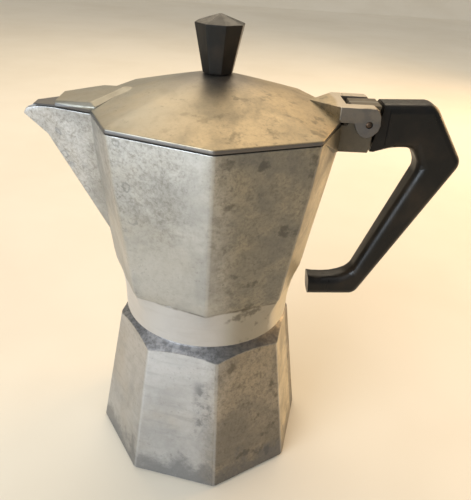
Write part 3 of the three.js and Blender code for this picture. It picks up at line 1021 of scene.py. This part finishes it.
# %% [markdown]
# The castings differ in how much of each kind of age they show. The handled side is
# the browner one, so the tarnish also grows from left to right; on the collector and
# the boiler that side is also painted darker, as painted shade. One facet there faces
# the warm room light, and a painted warm light keeps it warm and bright.

# %% Aged cast aluminium
# The second tone is a painted warm light, for the facet that faces the room
FRESH_CUT, PAINTED_ROOM_LIGHT, SPOUT_PALE = (0.6, 0.62, 0.67), (0.76, 0.64, 0.42), (0.66, 0.69, 0.74)
# The dark tones below are also laid on as painted shade and painted reflection
BRACKET_BROWN_AND_SHADE, FOOT_AND_SHADE_GREY, LID_PAINTED_SHADE_GREY = (0.085, 0.07, 0.05), (0.13, 0.134, 0.142), (0.1, 0.1, 0.108)


def browner_side_and_painted_light(tree, x, y, browner_from, darker_right):
    """How far to the brown side (painted darker, as shade, on most castings), and how much on the facet given
    painted warm light.
    """
    normal = wire(tree, "TexCoord").outputs["Normal"]
    facing = wire(tree, "SeparateXYZ", {0: normal}).outputs[0]
    painted_light_facet = times(tree, fade(tree, facing, 0.72, 0.85), fade(tree, y, 0.0, -0.004))
    side = fade(tree, calc(tree, "SUBTRACT", x, times(tree, y, 0.35)), *browner_from)
    return times(tree, side, darker_right, line(tree, painted_light_facet, -0.75, 1.0)), painted_light_facet


def cast_aluminium(name, pale, brown, dark, cover, rings, seed, turn, turned_part, shaded, base_rough,
                   darker_right, worn=0.2, brushed=0.1, browner_from=(0.014, 0.03), mottled=0.72):
    """turned_part and shaded make masks: where a lathe has cut, and where grime and painted shade sit."""
    material, tree, shader = new_finish(name)
    x, y, z = axes(tree)
    flat = from_axis(tree, x, y)
    lathed, (grime_and_painted_shade, grime_and_shade_tone) = turned_part(tree, z, flat), shaded(tree, x, z, flat)
    cast = inverse(tree, lathed)
    upper_left = times(tree, fade(tree, x, -0.018, -0.002, 1.0, 0.12), fade(tree, z, 0.118, 0.15, 0.1, 1.0))
    aged = place_group(tree, TARNISH, Cover=cover, Rings=times(tree, upper_left, rings), Seed=seed)
    corners = place_group(tree, CORNERS, Turn=turn, Width=0.25)["Worn"]
    corners = times(tree, corners, times(tree, cast, worn))
    level = place_group(tree, LINES)
    side, painted_light_facet = browner_side_and_painted_light(tree, x, y, browner_from, darker_right)
    # The metal's tones, with painted shade on the right side and painted warm light on one facet
    drift = cloud(tree, places(tree, shift=(0.3, 0, 0)), 26, 3, 0.6)
    tone = mixed(tree, times(tree, fade(tree, drift, 0.42, 0.72), 0.3), pale, brown)
    # Browner to the right, and on the collector and boiler also painted darker there, as painted shade
    tone = mixed(tree, side, tone, brown)
    tone = mixed(tree, times(tree, lathed, inverse(tree, side), 0.8), tone, FRESH_CUT)
    # Painted warm light on the facet that faces the room
    tone = mixed(tree, times(tree, painted_light_facet, 0.75), tone, PAINTED_ROOM_LIGHT)
    tone = mixed(tree, times(tree, fade(tree, x, -0.06, -0.05, 1.0, 0.0), 0.55 * rings), tone, SPOUT_PALE)
    # Oxide and dried rings
    clouds = times(tree, aged["Clouds"], line(tree, cast, 0.7, 0.3), line(tree, side, 0.3, 0.4))
    marks = times(tree, aged["Specks"], line(tree, side, 0.35, 0.5))
    marks = times(tree, most(tree, marks, times(tree, aged["Rings"], 0.75)), cast)
    tone = mixed(tree, clouds, tone, dark)
    tone = mixed(tree, times(tree, marks, 0.6), tone, tinted(dark, 0.6))
    # Mottle, spots and brushed streaks
    grain = cloud(tree, places(tree), 900, 3, 0.7)
    blots = fade(tree, cloud(tree, places(tree, shift=(0.1, 0, 0)), 330, 5, 0.72, 0.5), 0.46, 0.62)
    mottle = line(tree, blots, 0.6, times(tree, fade(tree, grain, 0.42, 0.66), 0.5))
    strength = line(tree, side, mottled, line(tree, upper_left, 0.45 * rings, 0.12))
    tone = mixed(tree, times(tree, mottle, strength, cast), tone, dark)
    spots = fade(tree, cloud(tree, places(tree, shift=(0, 0.2, 0)), 120, 4, 0.55), 0.57, 0.68)
    tone = mixed(tree, times(tree, spots, side, 0.8), tone, tinted(dark, 0.55))
    streaks = fade(tree, level["Streaks"], 0.5, 0.7)
    brush = times(tree, streaks, times(tree, inverse(tree, side), brushed))
    tone = mixed(tree, brush, tone, tinted(pale, 0.62))
    # Grime and painted shade, from the mask that shaded gives
    tone = mixed(tree, grime_and_painted_shade, tone, grime_and_shade_tone)
    tone = mixed(tree, corners, tone, tinted(pale, 1.15))
    # Gloss and bump
    dull = most(tree, clouds, marks)
    rough = calc(tree, "ADD", line(tree, dull, 0.2, base_rough), times(tree, side, 0.08))
    rough = calc(tree, "SUBTRACT", rough, times(tree, most(tree, corners, lathed), 0.06))
    height = line(tree, level["Lines"], line(tree, lathed, 0.6, 0.12), times(tree, grain, 0.5))
    waves = times(tree, cloud(tree, places(tree), 70, 2), 0.9)
    normal = rise(tree, calc(tree, "ADD", height, waves), 0.05, 0.7)
    metal = line(tree, dull, -0.25, 0.95)
    feed(tree, shader, {"Base Color": tone, "Metallic": metal, "Roughness": rough, "Normal": normal})
    return material


# %% Where a lathe has cut, and where grime and painted shade sit
def patchy(tree, scale, detail, rough, low, high, bottom, top):
    """A cloud that fades between two amounts, for grime and painted shade that don't cover evenly."""
    return fade(tree, cloud(tree, places(tree), scale, detail, rough), low, high, bottom, top)


def collar_band(tree, z, flat):
    return band(tree, z, 0.0764, 0.0768, 0.0968, 0.0974)


def collar_shade_line_and_bracket(tree, x, z, flat):
    """A painted shade line under the octagon's foot, and dark brown on the upper bracket."""
    # Painted shade along the crease under the octagon's foot
    under_foot = band(tree, z, 0.0962, 0.097, 0.0973, 0.0981)
    under_foot = times(tree, under_foot, patchy(tree, 90, 3, 0.6, 0.4, 0.6, 0.1, 0.55))
    bracket = times(tree, fade(tree, x, 0.044, 0.052), fade(tree, z, 0.156, 0.162, 0.0, 0.72))
    return most(tree, under_foot, bracket), BRACKET_BROWN_AND_SHADE


def above_cone(tree, z, flat):
    """1 on the shoulder cone and above it, 0 on the flat faces below."""
    tip = (SHOULDER_Z + SLOPE * SHOULDER_R) * MM
    return fade(tree, calc(tree, "SUBTRACT", line(tree, flat, SLOPE, z), tip), -0.0007, -0.0002)


def boiler_foot_stain_and_shade(tree, x, z, flat):
    """A dark foot, a stain down the middle of the front, and painted shade on the shoulder under the collar.
    """
    ragged = cloud(tree, places(tree), 90, 5, 0.65)
    foot = fade(tree, line(tree, ragged, -0.045, calc(tree, "ADD", z, 0.018)), 0.0, 0.011, 0.6, 0.0)
    aside = calc(tree, "ABSOLUTE", calc(tree, "SUBTRACT", x, 0.0005))
    front = fade(tree, axes(tree)[1], 0.0, -0.01)
    stain = times(
        tree, fade(tree, aside, 0.0015, 0.006, 1.0, 0.0), front, band(tree, z, 0.022, 0.032, 0.054, 0.062),
        patchy(tree, 160, 4, 0.7, 0.38, 0.6, 0.1, 0.75),
    )
    # Painted shade on the shoulder, where the collar overhangs it
    shoulder = times(tree, above_cone(tree, z, flat), patchy(tree, 420, 4, 0.7, 0.35, 0.65, 0.45, 0.85))
    return most(tree, shoulder, foot, stain), FOOT_AND_SHADE_GREY


def plate_top(tree, z, flat):
    """The filed top of the hinge plate."""
    return times(tree, fade(tree, flat, 0.051, 0.053), fade(tree, z, 0.1838, 0.1841))


def lid_painted_shade(tree, x, z, flat):
    """A painted dark reflection in bluish grey on the edge and the hinge plate, and painted shade round the
    knob.
    """
    # Painted dark reflection on the lid's upright edge and on the hinge plate
    edge = fade(tree, z, 0.1777, 0.1781, 0.85, 0.0)
    top = times(tree, fade(tree, x, 0.0515, 0.053), fade(tree, z, 0.1838, 0.1842, 0.75, 0.0))
    # Painted shade round the knob
    ragged = line(tree, cloud(tree, places(tree), 90, 4, 0.65), -0.012, flat)
    return most(tree, edge, top, fade(tree, ragged, 0.0, 0.024, 0.7, 0.0)), LID_PAINTED_SHADE_GREY


wear(cast_aluminium(
    "aged collector metal", (0.49, 0.495, 0.49), (0.27, 0.24, 0.175), (0.15, 0.14, 0.12),
    cover=0.5, rings=1.0, seed=0.0, turn=0, turned_part=collar_band, shaded=collar_shade_line_and_bracket,
    base_rough=0.42, darker_right=0.85,
), collector)
wear(cast_aluminium(
    "aged boiler metal", (0.46, 0.465, 0.475), (0.33, 0.275, 0.195), (0.15, 0.135, 0.11),
    cover=0.45, rings=0.2, seed=3.1, turn=BOILER_TURN, turned_part=above_cone, shaded=boiler_foot_stain_and_shade,
    base_rough=0.4, darker_right=0.8, worn=0.3, brushed=0.4,
), boiler)
wear(cast_aluminium(
    "aged lid metal", (0.25, 0.245, 0.215), (0.47, 0.36, 0.21), (0.2, 0.175, 0.125),
    cover=0.4, rings=0.0, seed=5.3, turn=0, turned_part=plate_top, shaded=lid_painted_shade,
    base_rough=0.42, darker_right=0.7, worn=0.0, brushed=0.0, browner_from=(-0.03, 0.03), mottled=0.4,
), lid)

# %% [markdown]
# Phenolic resin starts glossy and black. Handling leaves it with hairline scuffs
# and a brownish bloom, so its gloss changes from spot to spot.

# %% Worn black phenolic
def phenolic(name):
    material, tree, shader = new_finish(name)
    scuffs = cloud(tree, places(tree, (300, 300, 60)), 1, 4, 0.7)
    bloom = cloud(tree, places(tree), 60, 4, 0.6)
    tone = mixed(tree, fade(tree, bloom, 0.4, 0.75), (0.005, 0.0046, 0.0042), (0.017, 0.012, 0.008))
    rough = calc(tree, "ADD", fade(tree, scuffs, 0.35, 0.75, 0.24, 0.44), times(tree, bloom, 0.08))
    normal = rise(tree, cloud(tree, places(tree), 900, 2, 0.5), 0.02, 0.5)
    feed(tree, shader, {"Base Color": tone, "Roughness": rough, "Normal": normal, "Specular IOR Level": 0.24})
    return material


wear(phenolic("worn black phenolic"), handle, knob)


# %% Plain metals, rubber, fibre and the floor
def speckled(name, light, dark, metallic, low_rough, high_rough, scale, depth):
    """A plain finish that still varies: two tones, a range of gloss and a fine bump."""
    material, tree, shader = new_finish(name)
    drift = cloud(tree, places(tree), scale, 4, 0.6)
    fine = cloud(tree, places(tree), scale * 6, 2, 0.5)
    tone = mixed(tree, fade(tree, drift, 0.35, 0.7), light, dark)
    rough = fade(tree, drift, 0.3, 0.7, low_rough, high_rough)
    normal = rise(tree, fine, depth, 0.6)
    feed(tree, shader, {"Base Color": tone, "Metallic": metallic, "Roughness": rough, "Normal": normal})
    return material


greasy = speckled("greasy brown steel", (0.13, 0.08, 0.05), (0.04, 0.028, 0.02), 0.7, 0.4, 0.65, 500, 0.03)
steel = speckled("steel", (0.55, 0.54, 0.52), (0.38, 0.36, 0.34), 1, 0.25, 0.42, 240, 0.01)
brass = speckled("brass", (0.62, 0.44, 0.18), (0.42, 0.28, 0.11), 1, 0.28, 0.45, 200, 0.01)
spun_metal = speckled("spun aluminium", (0.68, 0.68, 0.67), (0.5, 0.49, 0.47), 1, 0.28, 0.42, 120, 0.01)
rubber = speckled("pale rubber", (0.72, 0.68, 0.58), (0.55, 0.48, 0.36), 0, 0.65, 0.85, 150, 0.03)
fibre = speckled("red fibre", (0.3, 0.06, 0.035), (0.17, 0.035, 0.022), 0, 0.75, 0.9, 500, 0.05)
paper = speckled("pale table", (0.72, 0.67, 0.575), (0.67, 0.615, 0.515), 0, 0.8, 0.9, 3, 0.2)
wear(greasy, pin)
wear(steel, screw, plunger, coil, under_washer)
wear(brass, body, seat, insert)
wear(fibre, washer)
wear(rubber, seal)
wear(spun_metal, funnel, *discs, riser)
wear(paper, sweep)
